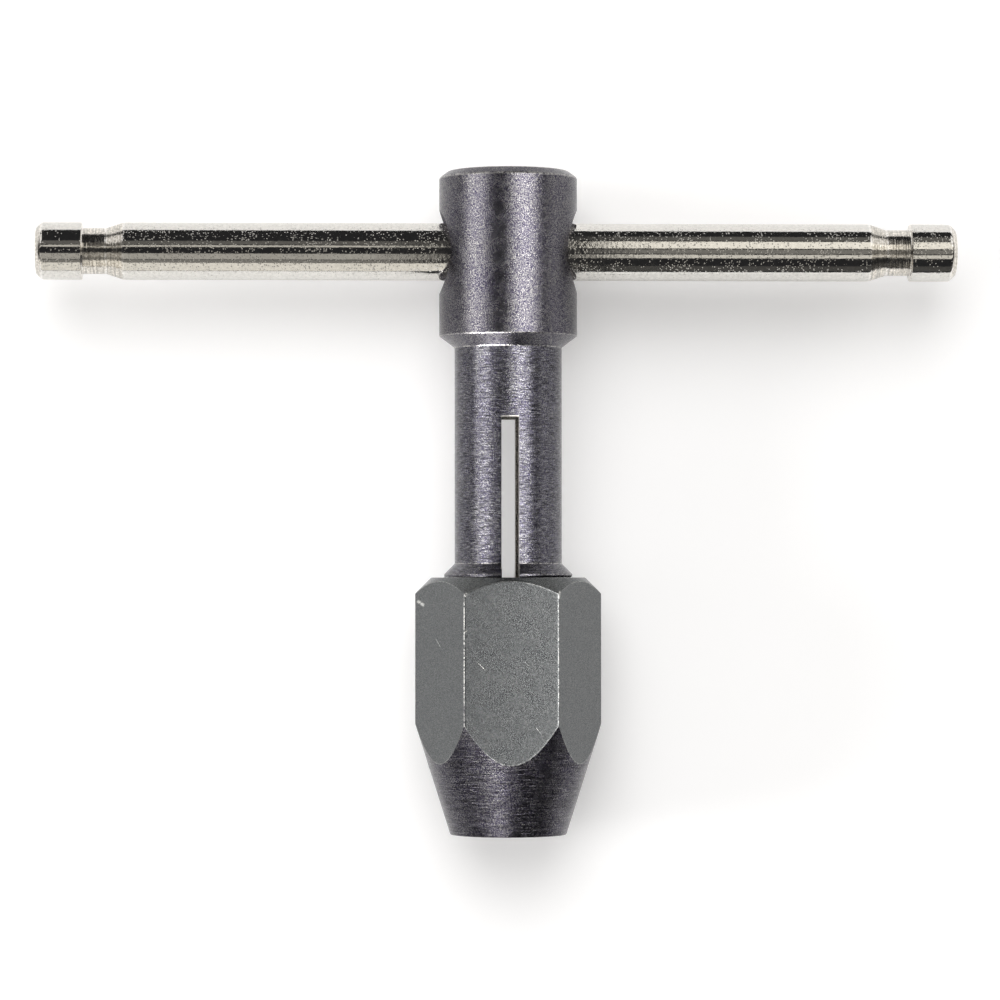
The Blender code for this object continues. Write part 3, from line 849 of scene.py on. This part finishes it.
def wire_coil(name, low, high, wire, turns, axis):
    """A compression spring that fills a box along Y or Z, with a closed turn at each end. Wire
    is the radius of its round wire."""
    y, z = Vector((0, 1, 0)), Vector((0, 0, 1))
    along, side = (y, z) if axis == "Y" else (z, y)
    centre = (low + high) / 2
    length = (high - low).dot(along)
    radius = (high.x - low.x) / 2 - wire
    end_pitch = 2.3 * wire
    middle_pitch = (length - 2 * wire - 2 * end_pitch) / (turns - 2)
    curve = bpy.data.curves.new(name, "CURVE")
    curve.dimensions = "3D"
    curve.bevel_depth = wire
    curve.bevel_resolution = 4
    curve.use_fill_caps = True
    line = curve.splines.new("POLY")
    line.points.add(turns * COIL_STEPS)
    for i, point in enumerate(line.points):
        made = i / COIL_STEPS
        ends = min(made, 1.0) + max(made - (turns - 1), 0.0)
        height = wire + ends * end_pitch + (made - ends) * middle_pitch - length / 2
        angle = 2 * math.pi * made
        across = Vector((math.cos(angle), 0, 0)) + side * math.sin(angle)
        point.co = (*(centre + along * height + across * radius), 1.0)
    drawn = add_object(name + "_line", curve)
    bpy.context.view_layer.update()
    depsgraph = bpy.context.evaluated_depsgraph_get()
    mesh = bpy.data.meshes.new_from_object(drawn.evaluated_get(depsgraph))
    bpy.data.objects.remove(drawn)
    item = add_object(name, mesh)
    item.data.shade_smooth()
    wear_finishes(item, SPRING_STEEL)
    return item


def attach(item, body, node):
    """The piece moves with a body and stands for a node of the model, which it hides."""
    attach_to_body(item, body)
    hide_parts(node)


# ---------------------------------------------------------------- stage
def floor():
    """A pale floor that glows a little, as paper on a light table does."""
    shape = bmesh.new()
    bmesh.ops.create_grid(shape, x_segments=1, y_segments=1, size=FLOOR_REACH)
    item = object_from_bmesh("floor", shape)
    item.location.z = -FLOOR_GAP
    material = bpy.data.materials.new("floor_paper")
    material.use_nodes = True
    shader = material.node_tree.nodes["Principled BSDF"]
    shader.inputs["Base Color"].default_value = (0.86, 0.852, 0.845, 1)
    shader.inputs["Roughness"].default_value = 0.9
    shader.inputs["Specular IOR Level"].default_value = 0.1
    shader.inputs["Emission Color"].default_value = (1.0, 0.985, 0.97, 1)
    shader.inputs["Emission Strength"].default_value = 0.26
    item.data.materials.append(material)


def backdrop():
    """A pale dome, seen only by the camera, where a low view looks past the floor."""
    shape = bmesh.new()
    bmesh.ops.create_icosphere(shape, subdivisions=4, radius=BACKDROP_RADIUS)
    item = object_from_bmesh("backdrop", shape)
    material = bpy.data.materials.new("backdrop_paper")
    material.use_nodes = True
    tree = material.node_tree
    tree.nodes.clear()
    glow = make(tree, "ShaderNodeEmission", None, Color=(1.0, 0.995, 0.99, 1), Strength=0.95)
    output = make(tree, "ShaderNodeOutputMaterial")
    tree.links.new(glow.outputs[0], output.inputs["Surface"])
    item.data.materials.append(material)
    item.visible_diffuse = False
    item.visible_glossy = False
    item.visible_shadow = False
    item.visible_transmission = False


def soft_sun(name, strength, spread, towards_y, towards_x):
    """A wide soft light that only the pale floor scatters. It leans from the zenith by two
    angles in degrees."""
    light = bpy.data.lights.new(name, "SUN")
    light.energy = strength
    light.angle = math.radians(spread)
    item = add_object(name, light)
    source = Vector((math.tan(math.radians(towards_x)), math.tan(math.radians(towards_y)), 1))
    item.rotation_euler = source.to_track_quat("Z", "Y").to_euler()
    item.visible_glossy = False


def softbox(name, width, depth, radiance, colour, lights_up):
    """An area light that shows in the metal of a collection, but not to the camera."""
    light = bpy.data.lights.new(name, "AREA")
    light.shape = "RECTANGLE"
    light.size = width
    light.size_y = depth
    light.energy = radiance * math.pi * width * depth
    light.color = colour
    item = add_object(name, light)
    item.visible_camera = False
    item.visible_diffuse = False
    item.light_linking.receiver_collection = lights_up
    return item


def panel(name, towards, width, depth, radiance, lights_up):
    """A softbox turned to the wrench. Towards is its middle, from the middle of the wrench, and
    its width runs along X."""
    item = softbox(name, width, depth, radiance, PANEL_COLOUR, lights_up)
    z = Vector(towards).normalized()
    x = (Vector((1, 0, 0)) - z * z.x).normalized()
    turn = Matrix((x, z.cross(x), z)).transposed().to_4x4()
    item.matrix_world = Matrix.Translation(Vector(STAGE_CENTRE) + Vector(towards)) @ turn


def strip(name, low, high, span, radiance, lights_up):
    """A long softbox for the rod, at a fixed distance, between two angles that lean from the
    zenith towards the head, in degrees. Its span is from one x to another."""
    middle = math.radians((low + high) / 2)
    depth = 2 * STRIP_DISTANCE * math.tan(math.radians(high - low) / 2)
    item = softbox(name, span[1] - span[0], depth, radiance, STRIP_COLOUR, lights_up)
    item.location = (
        (span[0] + span[1]) / 2,
        CROSS_HOLE + STRIP_DISTANCE * math.sin(middle),
        AXIS_Z + STRIP_DISTANCE * math.cos(middle),
    )
    item.rotation_euler.x = -middle


def receivers(name, pieces):
    """A collection that a light can be linked to."""
    group = bpy.data.collections.new(name)
    for piece in pieces:
        group.objects.link(piece)
    return group


def studio(satin_pieces, bright_pieces):
    """A dim room, soft light on the floor, and softboxes that shape the metal."""
    world = bpy.data.worlds.new("studio")
    world.use_nodes = True
    background = world.node_tree.nodes["Background"]
    background.inputs["Color"].default_value = (0.75, 0.75, 0.8, 1)
    background.inputs["Strength"].default_value = 0.032
    bpy.context.scene.world = world
    soft_sun("window", 1.8, 50, 34, -8)
    soft_sun("ceiling", 1.1, 150, 0, 0)
    soft_sun("side_window", 2.2, 25, 0, -74)

    satin = receivers("satin_pieces", satin_pieces)
    panel("panel_right", (0.33, 0.10, 0.67), 0.50, 0.75, 6.3, satin)
    panel("panel_far_right", (0.73, 0.04, 0.16), 0.26, 0.75, 1.3, satin)
    panel("panel_left", (-0.63, 0.04, 0.41), 0.46, 0.85, 4.5, satin)
    panel("panel_nose", (-0.21, -0.43, 0.57), 0.38, 0.40, 4.4, satin)
    # The first satin piece is the body. The cone under its head takes a low light of its own.
    body_only = receivers("body_only", satin_pieces[:1])
    panel("panel_low", (-0.36, -0.65, 0.22), 0.60, 0.34, 30.0, body_only)
    panel("panel_back", (0.0, 0.64, 0.40), 0.50, 0.28, 0.7, satin)
    every = receivers("every_piece", satin_pieces + bright_pieces)
    panel("panel_back_left", (-0.50, 0.52, 0.33), 0.55, 0.42, 0.9, every)
    panel("panel_back_right", (0.50, 0.52, 0.33), 0.55, 0.42, 0.9, every)

    bright = receivers("bright_pieces", bright_pieces)
    right = (0.05, 1.30)
    left = (-1.30, 0.0)
    for name, low, high, span, radiance in (
        ("right_upper", 44, 62, right, 0.12),
        ("right_wide", 12, 40, right, 1.15),
        ("right_middle", -9, 8, right, 0.22),
        ("right_thin", -27, -13, right, 0.80),
        ("right_foot", -84, -60, right, 0.06),
        ("left_upper", 23, 38, left, 0.12),
        ("left_thin", 13, 20, left, 0.65),
        ("left_middle", -36, -13, left, 0.46),
        ("left_gap", -50, -38, left, 0.22),
        ("left_wide", -88, -51, (-1.30, 0.02), 0.95),
    ):
        strip(name, low, high, span, radiance, bright)


def camera():
    """The camera looks almost straight down, a little from one side and from the nose's end."""
    tilt = Matrix.Rotation(math.radians(CAMERA_TILT), 3, "X")
    roll = Matrix.Rotation(math.radians(CAMERA_ROLL), 3, "Y")
    spin = Matrix.Rotation(math.radians(CAMERA_SPIN), 3, "Z")
    view = (spin @ roll @ tilt).transposed()
    data = bpy.data.cameras.new("camera")
    data.lens = CAMERA_LENS
    data.sensor_width = 36
    data.clip_start = 0.01
    data.clip_end = 100
    item = add_object("camera", data)
    place_at = Vector(STAGE_CENTRE) - view @ Vector(CAMERA_OFFSET)
    item.matrix_world = Matrix.Translation(place_at) @ view.to_4x4()
    bpy.context.scene.camera = item


# ---------------------------------------------------------------- the scene
BLUED_HEAD = blued_head()
BLUED_NECK = blued_neck()
CUT_STEEL = cut_steel()
NUT_FLATS = nut_flats()
NUT_TURNED = nut_turned()
NICKEL_BRIGHT = nickel_bright()
NICKEL_TURNED = nickel_turned()
JAW_STEEL = hard_steel("jaw_steel", (0.20, 0.19, 0.19), (0.30, 0.29, 0.28), 0.30)
RING_STEEL = hard_steel("ring_steel", (0.30, 0.29, 0.29), (0.42, 0.41, 0.40), 0.26)
SPRING_STEEL = hard_steel("spring_steel", (0.32, 0.32, 0.33), (0.45, 0.45, 0.45), 0.26)
BALL_STEEL = hard_steel("ball_steel", (0.55, 0.55, 0.55), (0.65, 0.65, 0.65), 0.12)
SCREW_STEEL = hard_steel("screw_steel", (0.05, 0.05, 0.055), (0.09, 0.09, 0.095), 0.40)

body = turned_body()
nut = hexagon_nut()
rod = sliding_rod()
ring = tapered_ring()
upper_jaw = jaw("upper_jaw", "jaw_front", 1)
lower_jaw = jaw("lower_jaw", "jaw_rear", -1)
attach(body, "wrench_body", "wrench_body")
attach(nut, "chuck_nut", "chuck_nut")
attach(rod, "handle_rod", "handle_rod")
attach(ring, "closing_ring", "closing_ring")
attach(upper_jaw, "jaw_front", "jaw_front")
attach(lower_jaw, "jaw_rear", "jaw_rear")

for hand in ("left", "right"):
    node = "jaw_spring_" + hand
    low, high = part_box(node)
    coil = wire_coil("coil_" + hand, low, high, JAW_SPRING_WIRE, JAW_SPRING_TURNS, "Z")
    attach(coil, "wrench_body", node)
    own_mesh(coil)
detent_coil = wire_coil(
    "detent_coil", DETENT_LOW, DETENT_HIGH, DETENT_WIRE, DETENT_TURNS, "Y",
)
attach(detent_coil, "wrench_body", "detent_spring")
for node, material in (("detent_ball", BALL_STEEL), ("detent_screw", SCREW_STEEL)):
    wear_finishes(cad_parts[node], material)

floor()
backdrop()
studio([body, nut, ring, upper_jaw, lower_jaw], [rod])
camera()
bpy.context.scene.view_settings.view_transform = "Standard"
